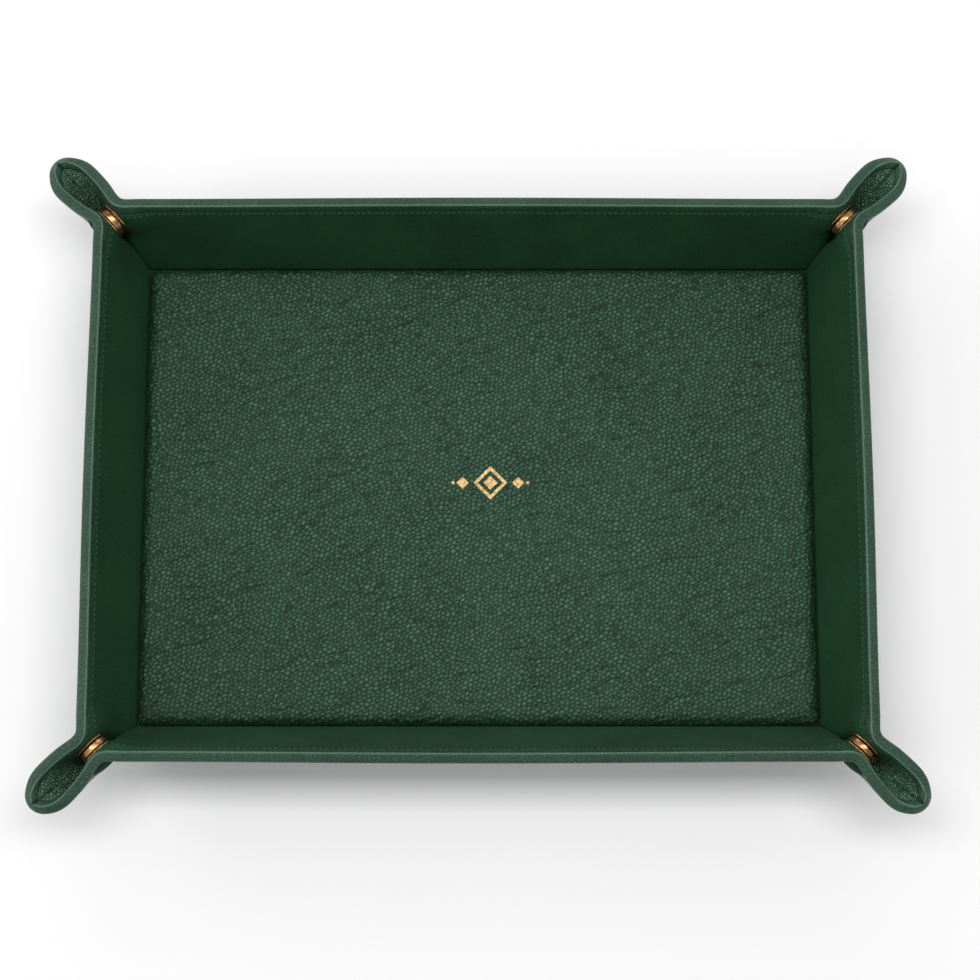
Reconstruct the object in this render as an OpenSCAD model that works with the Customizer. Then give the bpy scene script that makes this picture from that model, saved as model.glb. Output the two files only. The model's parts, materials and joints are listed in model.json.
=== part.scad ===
// Snap-cornered leather valet tray. Millimetres. Origin on the table under the
// middle of the floor, X along the long side, front wall at -Y, Z up.

/* [Tray] */
// Distance between the two end creases
tray_len = 200; // [120:1:320]
// Distance between the front and back creases
tray_wid = 140; // [90:1:240]
// Slant height of the walls, crease to rim
wall_h = 31.5; // [28:0.5:40]
// Outward lean of the snapped walls, from upright
lean = 19; // [14:0.5:26]
// Corner radius of the leather sheet
sheet_r = 5; // [4:0.5:8]

/* [Leather stack] */
// Thickness of the outer leather
outer_t = 1.2; // [1:0.1:1.4]
// Thickness of the stiffening board
board_t = 0.8; // [0.6:0.1:1.0]
// Thickness of the lining
lining_t = 1.0; // [0.8:0.1:1.2]
// Radius of the turned rim edge
rim_r = 1.6; // [1.55:0.05:1.8]

/* [Floor] */
// Thickness of the floor board
floor_board_t = 1.0; // [0.8:0.1:2]
// Thickness of the foam under the floor leather
foam_t = 1.6; // [1:0.1:4]
// Thickness of the floor leather
floor_skin_t = 0.9; // [0.6:0.1:1.4]
// Inset of the padded floor from the creases
floor_gap = 1.4; // [1.2:0.1:3]

/* [Corner ears] */
// Sheet angle from the wall to the neck fold
neck_a = 8.5; // [8:0.5:9]
// Sheet angle across the ear's side panel
side_a = 26.5; // [25.5:0.5:27]
// Plan angle by which the ear's sides flare
flare = 8; // [7:0.5:9]

/* [Snaps] */
// Distance of the snap from the floor corner, along the diagonal
snap_d = 10.5; // [10.5:0.1:12]
// Height of the snap above the crease axis
snap_z = 20.8; // [19:0.1:22]
// Radius of the brass flanges
flange_r = 5.2; // [4.5:0.1:5.4]
// Radius of the leather-coloured caps outside
cap_r = 5.4; // [4.5:0.1:5.6]

/* [Ornament] */
// Height of the gold foil ornament
foil_h = 10; // [6:0.5:14]
// Offset of the ornament along X
foil_x = 3.6; // [-20:0.1:20]
// Offset of the ornament along Y
foil_y = 2.6; // [-20:0.1:20]

/* [Hidden] */
stack = outer_t + board_t + lining_t;
half = stack / 2;
axis_z = half;
hx = tray_len / 2;
hy = tray_wid / 2;
bead_r = half - 0.05;
crease_cut = half + 0.6;
neck_cut = half + 0.6;
tip_cut = half + 0.8;
tip_a = 45 - neck_a - side_a;
rest_gap = 0.15;
line_r = wall_h - rim_r;
floor_top = outer_t + floor_board_t + foam_t + floor_skin_t;
floor_x = hx - floor_gap;
floor_y = hy - floor_gap;
r2 = sqrt(0.5);

leather_green = [0.13, 0.27, 0.18];
lining_green = [0.10, 0.21, 0.13];
floor_green = [0.20, 0.37, 0.27];
board_grey = [0.55, 0.52, 0.46];
foam_grey = [0.80, 0.79, 0.74];
brass = [0.78, 0.62, 0.33];
foil_gold = [0.86, 0.72, 0.42];

// The corner frame has x outward along the diagonal, y toward the wall that the
// half ear grows from, and z up, with its origin on the two crease axes.
function unit(v) = v / norm(v);
function turn(a, w, v) = v * cos(w) + cross(a, v) * sin(w) + a * (a * v) * (1 - cos(w));
function up_wall() = [r2 * sin(lean), r2 * sin(lean), cos(lean)];
function to_corner() = [r2, -r2, 0];
function ray(p, q, a) = p * cos(a) + q * sin(a);
function side(p, q, a) = q * cos(a) - p * sin(a);

u0 = ray(up_wall(), to_corner(), neck_a);
t0 = side(up_wall(), to_corner(), neck_a);
trace = [cos(flare), sin(flare), 0];
q0 = unit(trace - u0 * (trace * u0));
neck_bend = atan2(cross(t0, q0) * u0, t0 * q0);
u1 = ray(u0, q0, side_a);
t1 = side(u0, q0, side_a);

// The nose fold closes the ear: its bend brings the last ray onto the diagonal.
function off_diagonal(b) = ray(u1, turn(u1, b, t1), tip_a)[1];
function solve_bend(lo, hi, n) =
    n == 0 ? (lo + hi) / 2
    : off_diagonal(lo) * off_diagonal((lo + hi) / 2) <= 0
        ? solve_bend(lo, (lo + hi) / 2, n - 1)
        : solve_bend((lo + hi) / 2, hi, n - 1);
tip_bend = solve_bend(-89, -30, 30);
q1 = turn(u1, tip_bend, t1);

// Panels: x along the first ray, y across the panel, z along the outer normal.
function panel_normal(p, q) = unit(cross(p, q));
side_n = panel_normal(u0, q0);
tip_n = panel_normal(u1, q1);
snap_n = -(side_n[0] * snap_d + side_n[2] * snap_z) / side_n[1];
snap_in = snap_n - half;
snap_out = snap_n + half;

module place(x, y, z, o) {
    multmatrix([[x[0], y[0], z[0], o[0]],
                [x[1], y[1], z[1], o[1]],
                [x[2], y[2], z[2], o[2]],
                [0, 0, 0, 1]])
        children();
}

module rod(r, len, fn = 24) {
    rotate([-90, 0, 0]) cylinder(r = r, h = len, $fn = fn);
}

// Places a corner-frame solid. The long half grows from the front or back wall.
module at_corner(sx, sy, long = true) {
    n = long ? [-sx * r2, sy * r2, 0] : [sx * r2, -sy * r2, 0];
    place([sx * r2, sy * r2, 0], n, [0, 0, 1], [sx * hx, sy * hy, axis_z]) children();
}

// Places a wall-frame solid: x along the crease, y up the wall, z outward.
module at_wall(sx, sy) {
    out = [sx, sy, 0];
    up = out * sin(lean) + [0, 0, cos(lean)];
    nrm = out * cos(lean) - [0, 0, sin(lean)];
    place(cross(up, nrm), up, nrm, [sx * hx, sy * hy, axis_z]) children();
}

// ---- base ----

module base_outer() {
    inner_x = hx - 2.6;
    inner_y = hy - 2.6;
    color(leather_green) {
        translate([-hx, -inner_y, 0]) cube([tray_len, inner_y * 2, outer_t]);
        translate([-inner_x, -hy, 0]) cube([inner_x * 2, tray_wid, outer_t]);
        for (s = [-1, 1]) {
            translate([s * hx, -inner_y, axis_z]) rod(bead_r, inner_y * 2);
            translate([-inner_x, s * hy, axis_z]) rotate([0, 0, -90]) rod(bead_r, inner_x * 2);
        }
    }
}

module base_board() {
    inset = 2.1;
    color(board_grey)
        translate([-hx + inset, -hy + inset, outer_t])
            cube([tray_len - inset * 2, tray_wid - inset * 2, floor_board_t]);
}

module rounded_slab(x, y, r, z0, z1) {
    translate([0, 0, z0])
        linear_extrude(z1 - z0)
            polygon([for (k = [0:3], a = [0:15:90])
                let (sx = (k == 0 || k == 3) ? 1 : -1, sy = k < 2 ? 1 : -1)
                [sx * (x - r) + r * cos(a + 90 * k), sy * (y - r) + r * sin(a + 90 * k)]]);
}

module floor_pad() {
    z0 = outer_t + floor_board_t;
    color(foam_grey)
        rounded_slab(floor_x - floor_skin_t, floor_y - floor_skin_t, 1.2, z0, z0 + foam_t);
}

module floor_leather() {
    z0 = outer_t + floor_board_t;
    color(floor_green)
        difference() {
            hull() {
                rounded_slab(floor_x, floor_y, 2, z0, floor_top - 1.1);
                rounded_slab(floor_x - 0.35, floor_y - 0.35, 1.7, floor_top - 1.1, floor_top - 0.4);
                rounded_slab(floor_x - 1.1, floor_y - 1.1, 1.4, floor_top - 0.4, floor_top);
            }
            rounded_slab(floor_x - floor_skin_t, floor_y - floor_skin_t, 1.2, z0 - 1, z0 + foam_t);
            translate([foil_x, foil_y, floor_top - 0.1]) ornament_cut();
        }
}

module lozenge(w, h) {
    polygon([[w / 2, 0], [0, h / 2], [-w / 2, 0], [0, -h / 2]]);
}

module ornament_shape() {
    difference() {
        lozenge(foil_h, foil_h);
        lozenge(foil_h * 0.74, foil_h * 0.74);
    }
    lozenge(foil_h * 0.42, foil_h * 0.42);
    for (s = [-1, 1]) {
        translate([s * foil_h * 0.82, 0]) lozenge(foil_h * 0.36, foil_h * 0.36);
        translate([s * foil_h * 1.1, 0]) lozenge(foil_h * 0.12, foil_h * 0.12);
    }
}

module ornament_cut() {
    linear_extrude(1) ornament_shape();
}

module floor_ornament() {
    color(foil_gold)
        translate([foil_x, foil_y, floor_top - 0.1]) linear_extrude(0.1) ornament_shape();
}

// ---- walls ----

// One layer of a wall between two depths, cut clear of the crease and the necks.
module wall_layer(len, z0, z1, top, round_rim = false) {
    reach = (top + 0.2) * tan(neck_a);
    difference() {
        union() {
            translate([0, 0, z0])
                linear_extrude(z1 - z0)
                    polygon([[-len / 2, 0], [len / 2, 0],
                             [len / 2 + top * tan(neck_a), top],
                             [-len / 2 - top * tan(neck_a), top]]);
            if (round_rim)
                translate([-len / 2 - reach, line_r, 0])
                    rotate([0, 0, -90]) rod(rim_r, len + reach * 2);
        }
        translate([-len / 2 - 9, 0, 0]) rotate([0, 0, -90]) rod(crease_cut, len + 18);
        for (s = [-1, 1]) {
            translate([s * len / 2, 0, 0])
                rotate([0, 0, -s * neck_a]) translate([0, -4, 0]) rod(neck_cut, wall_h + 9);
            translate([s * len / 2, 0, 0])
                rotate([0, 0, -s * neck_a])
                    translate([s > 0 ? 0 : -20, -4, -3]) cube([20, wall_h + 9, 6]);
        }
    }
}

// Room for the snap's flange inside the neck, from snapped to opened flat, and
// for its cap outside it.
module snap_room() {
    for (k = [0, 0.5, 1])
        rotate(a = -neck_bend * k, v = u0)
            translate([snap_d, snap_in + 0.35 - 8, snap_z]) rod(flange_r + 0.4, 8, 32);
    translate([snap_d, snap_out - 0.3, snap_z]) rod(cap_r + 0.4, 8, 32);
}

module wall_part(sx, sy, z0, z1, top, round_rim = false) {
    len = sx == 0 ? tray_len : tray_wid;
    difference() {
        at_wall(sx, sy) wall_layer(len, z0, z1, top, round_rim);
        for (e = [-1, 1]) {
            if (sx == 0)
                at_corner(e, sy, true) snap_room();
            else
                at_corner(sx, e, false) snap_room();
        }
    }
}

module wall_outer(sx, sy) {
    color(leather_green) wall_part(sx, sy, half - outer_t, half, line_r, true);
}

module wall_board(sx, sy) {
    color(board_grey) wall_part(sx, sy, lining_t - half, half - outer_t, line_r - rim_r - 0.15);
}

module wall_lining(sx, sy) {
    color(lining_green) wall_part(sx, sy, -half, lining_t - half, line_r - rim_r - 0.15);
}

module wall_front_outer() { wall_outer(0, -1); }
module wall_front_board() { wall_board(0, -1); }
module wall_front_lining() { wall_lining(0, -1); }
module wall_back_outer() { wall_outer(0, 1); }
module wall_back_board() { wall_board(0, 1); }
module wall_back_lining() { wall_lining(0, 1); }
module wall_left_outer() { wall_outer(-1, 0); }
module wall_left_board() { wall_board(-1, 0); }
module wall_left_lining() { wall_lining(-1, 0); }
module wall_right_outer() { wall_outer(1, 0); }
module wall_right_board() { wall_board(1, 0); }
module wall_right_lining() { wall_lining(1, 0); }

// ---- ears ----

// Sheet coordinates inside a corner square: x up the wall, y away from it.
module sheet_corner() {
    c = wall_h - sheet_r;
    r = sheet_r - rim_r;
    polygon(concat([[0, 0], [line_r, 0]],
                   [for (a = [0:7.5:90]) [c + r * cos(a), c + r * sin(a)]],
                   [[0, line_r]]));
}

module wedge(a, r0, r1, inset) {
    polygon([[r0, 0], [r1, 0], [r1 * cos(a) + inset * sin(a), r1 * sin(a) - inset * cos(a)],
             [r0 * cos(a) + inset * sin(a), r0 * sin(a) - inset * cos(a)]]);
}

// A panel between two rays, in its own plane, with the turned rim along its edge.
module ear_panel(start, width, r0, inset) {
    c = wall_h - sheet_r;
    rotate([0, 0, -start])
        translate([0, 0, -half])
            linear_extrude(stack)
                intersection() {
                    sheet_corner();
                    rotate(start) wedge(width, r0, 60, inset);
                }
    intersection() {
        rotate([0, 0, -start]) {
            translate([line_r, 0, 0]) rod(rim_r, c);
            translate([c, c, 0])
                rotate_extrude(angle = 46, $fn = 64)
                    translate([sheet_r - rim_r, 0]) circle(rim_r, $fn = 24);
        }
        translate([0, 0, -3]) linear_extrude(6) wedge(width, r0, 60, inset);
    }
    rotate([0, 0, -90]) translate([0, r0, 0])
        rod(bead_r, line_r / cos(start) - r0);
}

module ear_side() {
    difference() {
        union() {
            place(u0, q0, side_n, [0, 0, 0]) ear_panel(neck_a, side_a, 6, 0);
            intersection() {
                translate([snap_d, snap_in, snap_z]) rod(4.4, stack, 32);
                place(u0, q0, side_n, [0, 0, 0])
                    translate([0, 0, -6]) cube([60, 40, 12]);
            }
        }
        place(u0, q0, side_n, [0, 0, 0])
            rotate([0, 0, side_a - 90]) translate([0, -2, 0]) rod(tip_cut, 60);
        translate([snap_d, 0, snap_z]) {
            translate([0, snap_in - 6, 0]) rod(flange_r + 0.1, 6, 32);
            translate([0, snap_out, 0]) rod(cap_r + 0.1, 6, 32);
            rod(1.2, 12);
        }
        translate([-1, rest_gap - 20, -5]) cube([60, 20, 60]);
    }
}

module ear_tip() {
    difference() {
        place(u1, q1, tip_n, [0, 0, 0]) ear_panel(neck_a + side_a, tip_a, 13, rest_gap);
        translate([-1, rest_gap - 20, -5]) cube([60, 20, 60]);
    }
}

module ear_fl_long_side() { color(leather_green) at_corner(-1, -1, true) ear_side(); }
module ear_fl_long_tip() { color(leather_green) at_corner(-1, -1, true) ear_tip(); }
module ear_fl_short_side() { color(leather_green) at_corner(-1, -1, false) ear_side(); }
module ear_fl_short_tip() { color(leather_green) at_corner(-1, -1, false) ear_tip(); }
module ear_fr_long_side() { color(leather_green) at_corner(1, -1, true) ear_side(); }
module ear_fr_long_tip() { color(leather_green) at_corner(1, -1, true) ear_tip(); }
module ear_fr_short_side() { color(leather_green) at_corner(1, -1, false) ear_side(); }
module ear_fr_short_tip() { color(leather_green) at_corner(1, -1, false) ear_tip(); }
module ear_bl_long_side() { color(leather_green) at_corner(-1, 1, true) ear_side(); }
module ear_bl_long_tip() { color(leather_green) at_corner(-1, 1, true) ear_tip(); }
module ear_bl_short_side() { color(leather_green) at_corner(-1, 1, false) ear_side(); }
module ear_bl_short_tip() { color(leather_green) at_corner(-1, 1, false) ear_tip(); }
module ear_br_long_side() { color(leather_green) at_corner(1, 1, true) ear_side(); }
module ear_br_long_tip() { color(leather_green) at_corner(1, 1, true) ear_tip(); }
module ear_br_short_side() { color(leather_green) at_corner(1, 1, false) ear_side(); }
module ear_br_short_tip() { color(leather_green) at_corner(1, 1, false) ear_tip(); }

// ---- snaps ----

// Profiles run along the snap's axis, with 0 on the corner's diagonal plane.
module on_snap_axis() {
    translate([snap_d, 0, snap_z]) rotate([-90, 0, 0]) children();
}

// Domed cap and its rivet, which goes through the leather and into the brass.
module snap_cap() {
    color(leather_green)
        on_snap_axis()
            rotate_extrude($fn = 32)
                polygon([[0, snap_in - 0.9], [1.1, snap_in - 0.9], [1.1, snap_out],
                         [cap_r, snap_out], [cap_r, snap_out + 0.35],
                         [cap_r - 0.5, snap_out + 0.75], [cap_r - 1.8, snap_out + 1.0],
                         [0, snap_out + 1.1]]);
}

// Flange on the lining, waist, and the wide drum that takes the stud.
module snap_socket() {
    f = 0.45;
    color(brass)
        on_snap_axis()
            rotate_extrude($fn = 32)
                polygon([[1.15, snap_in], [1.15, 0.75], [2.3, 0.75], [2.3, -0.95], [4.1, -0.95],
                         [4.5, -0.6], [4.5, 0.5], [4.1, 0.9], [3.3, 0.9],
                         [3.3, snap_in - f], [flange_r - 0.15, snap_in - f],
                         [flange_r, snap_in - f + 0.15], [flange_r, snap_in]]);
}

// Flange on the lining and the knob that presses into the drum.
module snap_stud() {
    f = 0.45;
    color(brass)
        on_snap_axis()
            rotate_extrude($fn = 32)
                polygon([[1.15, snap_in], [1.15, snap_in - 0.95], [0.5, snap_in - 0.95],
                         [0.5, 0.1], [0, 0.1], [0, -0.35], [1.1, -0.35],
                         [1.65, -0.1], [1.65, 0.5], [1.4, 0.9], [2.0, snap_in - f],
                         [flange_r - 0.15, snap_in - f],
                         [flange_r, snap_in - f + 0.15], [flange_r, snap_in]]);
}

module snap_fl_cap() { at_corner(-1, -1, true) snap_cap(); }
module snap_fl_socket() { at_corner(-1, -1, true) snap_socket(); }
module snap_fl_stud() { at_corner(-1, -1, false) snap_stud(); }
module snap_fl_post() { at_corner(-1, -1, false) snap_cap(); }
module snap_fr_cap() { at_corner(1, -1, true) snap_cap(); }
module snap_fr_socket() { at_corner(1, -1, true) snap_socket(); }
module snap_fr_stud() { at_corner(1, -1, false) snap_stud(); }
module snap_fr_post() { at_corner(1, -1, false) snap_cap(); }
module snap_bl_cap() { at_corner(-1, 1, true) snap_cap(); }
module snap_bl_socket() { at_corner(-1, 1, true) snap_socket(); }
module snap_bl_stud() { at_corner(-1, 1, false) snap_stud(); }
module snap_bl_post() { at_corner(-1, 1, false) snap_cap(); }
module snap_br_cap() { at_corner(1, 1, true) snap_cap(); }
module snap_br_socket() { at_corner(1, 1, true) snap_socket(); }
module snap_br_stud() { at_corner(1, 1, false) snap_stud(); }
module snap_br_post() { at_corner(1, 1, false) snap_cap(); }

base_outer();
base_board();
floor_pad();
floor_leather();
floor_ornament();
wall_front_outer();
wall_front_board();
wall_front_lining();
wall_back_outer();
wall_back_board();
wall_back_lining();
wall_left_outer();
wall_left_board();
wall_left_lining();
wall_right_outer();
wall_right_board();
wall_right_lining();
ear_fl_long_side();
ear_fl_long_tip();
ear_fl_short_side();
ear_fl_short_tip();
ear_fr_long_side();
ear_fr_long_tip();
ear_fr_short_side();
ear_fr_short_tip();
ear_bl_long_side();
ear_bl_long_tip();
ear_bl_short_side();
ear_bl_short_tip();
ear_br_long_side();
ear_br_long_tip();
ear_br_short_side();
ear_br_short_tip();
snap_fl_cap();
snap_fl_socket();
snap_fl_stud();
snap_fl_post();
snap_fr_cap();
snap_fr_socket();
snap_fr_stud();
snap_fr_post();
snap_bl_cap();
snap_bl_socket();
snap_bl_stud();
snap_bl_post();
snap_br_cap();
snap_br_socket();
snap_br_stud();
snap_br_post();
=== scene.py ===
"""The looks of the snap-cornered leather valet tray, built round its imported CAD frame.

Lengths are millimetres until a mesh is made. A corner is drawn in its own frame: x (d) runs
outward along the diagonal, y (n) toward the wall that the half ear grows from, and z up, from
the point where the two crease axes cross. The leather is one sheet folded there, so a point of
it is a sheet angle psi from the wall's upright line, a distance rho from that crossing, and a
depth t from the middle of the leather, outward positive.
"""
import json
import math

import bpy
import numpy as np
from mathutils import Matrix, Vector


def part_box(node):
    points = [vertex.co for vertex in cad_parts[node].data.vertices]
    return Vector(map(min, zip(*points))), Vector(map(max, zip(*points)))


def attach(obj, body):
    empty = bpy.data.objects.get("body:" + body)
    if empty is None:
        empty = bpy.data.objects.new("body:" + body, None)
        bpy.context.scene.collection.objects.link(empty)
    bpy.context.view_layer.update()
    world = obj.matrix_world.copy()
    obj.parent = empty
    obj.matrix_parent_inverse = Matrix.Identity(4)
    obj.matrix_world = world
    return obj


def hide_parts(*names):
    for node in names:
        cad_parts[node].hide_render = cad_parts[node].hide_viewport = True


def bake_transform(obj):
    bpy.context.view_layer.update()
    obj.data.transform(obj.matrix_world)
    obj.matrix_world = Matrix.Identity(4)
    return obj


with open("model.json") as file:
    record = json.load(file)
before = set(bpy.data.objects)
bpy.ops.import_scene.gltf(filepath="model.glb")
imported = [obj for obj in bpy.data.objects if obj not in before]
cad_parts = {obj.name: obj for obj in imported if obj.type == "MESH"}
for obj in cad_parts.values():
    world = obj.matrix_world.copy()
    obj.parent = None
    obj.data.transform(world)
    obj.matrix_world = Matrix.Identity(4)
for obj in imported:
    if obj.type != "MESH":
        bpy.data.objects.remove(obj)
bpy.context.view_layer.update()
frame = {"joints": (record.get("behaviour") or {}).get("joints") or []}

# ---- sizes taken from the frame ----

MM = 0.001
JOINTS = {j["name"]: j for j in frame["joints"]}
HALF_X = JOINTS["fold_right"]["pos_m"][0] / MM
HALF_Y = JOINTS["fold_back"]["pos_m"][1] / MM
AXIS_Z = JOINTS["fold_back"]["pos_m"][2] / MM
CORNERS = {"fl": (-1, -1), "fr": (1, -1), "bl": (-1, 1), "br": (1, 1)}
WALLS = {"front": (0, -1), "back": (0, 1), "left": (-1, 0), "right": (1, 0)}


def box_mm(node):
    """Lowest and highest corner of a CAD node, in millimetres."""
    low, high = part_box(node)
    return np.array(low) / MM, np.array(high) / MM


SKIN_THICK = 1.2           # thickness of the outer leather
PLATE_TOP = box_mm("base_outer")[0][2] + SKIN_THICK
PAD_LOW, PAD_HIGH = box_mm("floor_leather")
FOIL_LOW, FOIL_HIGH = box_mm("floor_ornament")

# ---- the leather sheet ----

HALF = AXIS_Z              # half the thickness of the leather stack
WALL_H = 31.5              # crease to rim, along the slope
LEAN = math.radians(19)    # outward lean of the walls
SHEET_R = 5.0              # corner radius of the flat sheet
LEAST_R = 0.6              # and of any outline inside it
TURN_IN = 2.5              # how far the turned edge comes down inside
LINING_GAP = 0.3           # dark groove between the turned edge and the lining
STITCH_END = 13.0          # sheet angle where the stitches run out into the neck
STITCH_IN = 3.75           # distance of the stitch line from the rim
STITCH_PITCH = 1.75
RIM_HALF = 1.62            # half the width of the turned rim
RIM_DEEP = 1.15            # depth over which the rim rounds over
RIM_POWER = 3.6            # squareness of the rounded rim
WALL_BOW = 0.5             # how far the middle of a wall's rim bows out
JOIN = 8.0                 # width of wall drawn with the corner
SPLIT = 22.0               # sheet angle where the neck piece meets the nose piece
TIP = 45.0                 # sheet angle of the diagonal
FLARE = 8.0                # heading of the ear's side away from the diagonal, in degrees
SNAP_D = 10.5              # place of the snap in the corner frame
SNAP_Z = 20.8
SNAP_N = 3.177             # and of the middle of the leather under it
SNAP_FLAT = 4.6            # radius over which the leather is flat under the snap
SNAP_FADE = 5.0            # width over which it curves again
NIP = 0.07                 # half the gap left where the two halves press together
NIP_END = 30               # sheet angle from which that gap closes
NIP_FADE = 10

R2 = math.sqrt(0.5)
UP_WALL = np.array([R2 * math.sin(LEAN), R2 * math.sin(LEAN), math.cos(LEAN)])
TO_CORNER = np.array([R2, -R2, 0.0])


def smooth(x):
    """Smooth step from 0 to 1."""
    x = np.clip(x, 0, 1)
    return x * x * (3 - 2 * x)


def unit(v):
    """Vectors along the last axis, scaled to length 1."""
    return v / np.linalg.norm(v, axis=-1, keepdims=True)


# ---- the folded corner, as one smooth cone ----

CONE_STEP = 0.25
CONE_START = -12.0
FOLDS = ((2, 15), (14, 34), (28, 50))   # sheet angles over which the neck, side and nose bend
SIDE_PSI = 16                           # sheet angle at which the ear's flare is taken
FIRST_BENDS = (56.0, -7.0, -93.0)       # degrees, from which the solver starts
SOLVER_ROUNDS = 8
SOLVER_STEP = 0.01
CLOSE_WEIGHT = 40                       # weights of the solver's three misses
SQUARE_WEIGHT = 10
FLARE_WEIGHT = 0.2


def hump(psi, low, high):
    """A smooth hump of unit area between two sheet angles."""
    x = np.clip((psi - low) / (high - low), 0, 1)
    return (1 - np.cos(2 * np.pi * x)) / (high - low)


def cone(bends):
    """Rays and cross directions of the sheet for the three bends, in degrees."""
    psi = np.arange(CONE_START, TIP + CONE_STEP / 2, CONE_STEP)
    a = math.radians(CONE_START)
    u = UP_WALL * math.cos(a) + TO_CORNER * math.sin(a)
    t = TO_CORNER * math.cos(a) - UP_WALL * math.sin(a)
    rays = [u]
    crosses = [t]
    h = math.radians(CONE_STEP)
    for p in psi[:-1]:
        middle = p + CONE_STEP / 2
        k = sum(b * hump(middle, *f) for b, f in zip(bends, FOLDS)) * h
        t = t * math.cos(k) + np.cross(u, t) * math.sin(k)
        u, t = u * math.cos(h) + t * math.sin(h), t * math.cos(h) - u * math.sin(h)
        rays.append(u)
        crosses.append(t)
    return psi, np.array(rays), np.array(crosses)


def solve_cone():
    """Finds the bends that close the ear on the diagonal, square to it, at the right flare."""
    def miss(bends):
        psi, rays, crosses = cone(bends)
        side = crosses[int(round((SIDE_PSI - CONE_START) / CONE_STEP))]
        heading = math.degrees(math.atan2(side[1], side[0]))
        return np.array([rays[-1][1] * CLOSE_WEIGHT,
                         np.cross(rays[-1], crosses[-1])[1] * SQUARE_WEIGHT,
                         (heading - FLARE) * FLARE_WEIGHT])

    bends = np.array(FIRST_BENDS)
    for _ in range(SOLVER_ROUNDS):
        now = miss(bends)
        slope = np.array([miss(bends + d) - now for d in np.eye(3) * SOLVER_STEP]).T / SOLVER_STEP
        bends = bends - np.linalg.solve(slope, now)
    return cone(bends)


CONE_PSI, CONE_RAYS, CONE_CROSS = solve_cone()


def along_cone(table, psi):
    """Unit vectors of the cone's table at any sheet angles."""
    return unit(np.stack([np.interp(psi, CONE_PSI, table[:, i]) for i in range(3)], -1))


def edge_rho(psi, inset):
    """Distance from the fold point to the sheet's outline, moved in by inset."""
    a = np.radians(psi)
    rho = (WALL_H - inset) / np.cos(a)
    r = max(SHEET_R - inset, LEAST_R)
    c = WALL_H - inset - r
    b = c * (np.cos(a) + np.sin(a))
    on_arc = b + np.sqrt(np.maximum(b * b - 2 * c * c + r * r, 0))
    return np.where(rho * np.sin(a) > c, on_arc, rho)


def corner_leather(shift, psi, rho, t):
    """Points of the folded leather in the corner frame."""
    shift, psi, rho, t = np.broadcast_arrays(*[np.asarray(v, float) for v in (shift, psi, rho, t)])
    u = along_cone(CONE_RAYS, psi)
    n = np.cross(u, along_cone(CONE_CROSS, psi))
    p = u * rho[..., None] - TO_CORNER * shift[..., None]
    r = np.hypot(p[..., 0] - SNAP_D, p[..., 2] - SNAP_Z)
    w = (1 - smooth((r - SNAP_FLAT) / SNAP_FADE))[..., None]
    p = p * (1 - w) + np.stack([p[..., 0], np.full_like(r, SNAP_N), p[..., 2]], -1) * w
    n = unit(n * (1 - w) + np.array([0.0, 1.0, 0.0]) * w)
    p = p + n * t[..., None]
    gap = NIP * (1 - smooth((psi - NIP_END) / NIP_FADE))
    p[..., 1] = np.maximum(p[..., 1], gap)
    return p


def corner_matrix(corner, half):
    """Columns: the corner frame's axes in the tray's frame."""
    sx, sy = CORNERS[corner]
    n = (-sx * R2, sy * R2, 0) if half == "long" else (sx * R2, -sy * R2, 0)
    return np.array([(sx * R2, sy * R2, 0), n, (0, 0, 1)]).T


def to_tray(corner, half, p):
    """Corner-frame points in the tray's frame."""
    sx, sy = CORNERS[corner]
    return p @ corner_matrix(corner, half).T + np.array([sx * HALF_X, sy * HALF_Y, AXIS_Z])


def wall_reach(wall):
    """Half the length of a straight wall, between its two necks."""
    return (HALF_X if WALLS[wall][0] == 0 else HALF_Y) - JOIN


def wall_leather(wall, s, h, t):
    """Points of a straight wall: s along the crease, h up the slope, t outward."""
    sx, sy = WALLS[wall]
    out = np.array([sx, sy, 0.0])
    up = out * math.sin(LEAN) + np.array([0, 0, math.cos(LEAN)])
    n = out * math.cos(LEAN) - np.array([0, 0, math.sin(LEAN)])
    along = np.array([-sy, sx, 0.0])
    s, h, t = np.broadcast_arrays(*[np.asarray(v, float) for v in (s, h, t)])
    free = np.clip(1 - (s / wall_reach(wall)) ** 2, 0, 1)
    t = t + WALL_BOW * free ** 2 * (h / WALL_H) ** 2
    centre = out * np.array([HALF_X, HALF_Y, 0]) + np.array([0, 0, AXIS_Z])
    return centre + along * s[..., None] + up * h[..., None] + n * t[..., None]


# ---- sections of the leather, from the crease over the rim and back ----

FACE_ROWS = 26
RIM_ROWS = 22
RIM_SWELL = 0.12           # how far the outer face swells just under the rim
FACE_FOOT = 0.4            # distance from the fold point at which a face starts
BACK_TOP = 0.93            # share of the face that a hidden back face reaches


def rim_arc():
    """(inset, depth) round the turned rim, from the outer face over to the inner one."""
    a = np.linspace(0, math.pi, RIM_ROWS)
    power = 2 / RIM_POWER
    depth = RIM_HALF * np.sign(np.cos(a)) * np.abs(np.cos(a)) ** power
    inset = RIM_DEEP * (1 - np.abs(np.sin(a)) ** power)
    return inset, depth


def skin_section():
    """Rows of the outer leather: (share of the face or None, inset, depth)."""
    inset, depth = rim_arc()
    rows = [(f, 0, HALF + RIM_SWELL * f ** 6) for f in np.linspace(0, 1, FACE_ROWS + 1)[:-1]]
    rows += [(None, i, t) for i, t in zip(inset, depth)]
    rows += [(None, TURN_IN - 0.25, -RIM_HALF), (None, TURN_IN - 0.05, 0.1 - RIM_HALF)]
    rows += [(None, TURN_IN, 0.4 - RIM_HALF), (None, TURN_IN, -0.45)]
    back = len(rows) - RIM_ROWS - 8
    rows += [(f, 0, -0.4) for f in np.linspace(BACK_TOP, 0, back)]
    return rows if len(rows) % 2 == 0 else rows + [(0, 0, 0.4)]


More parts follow.
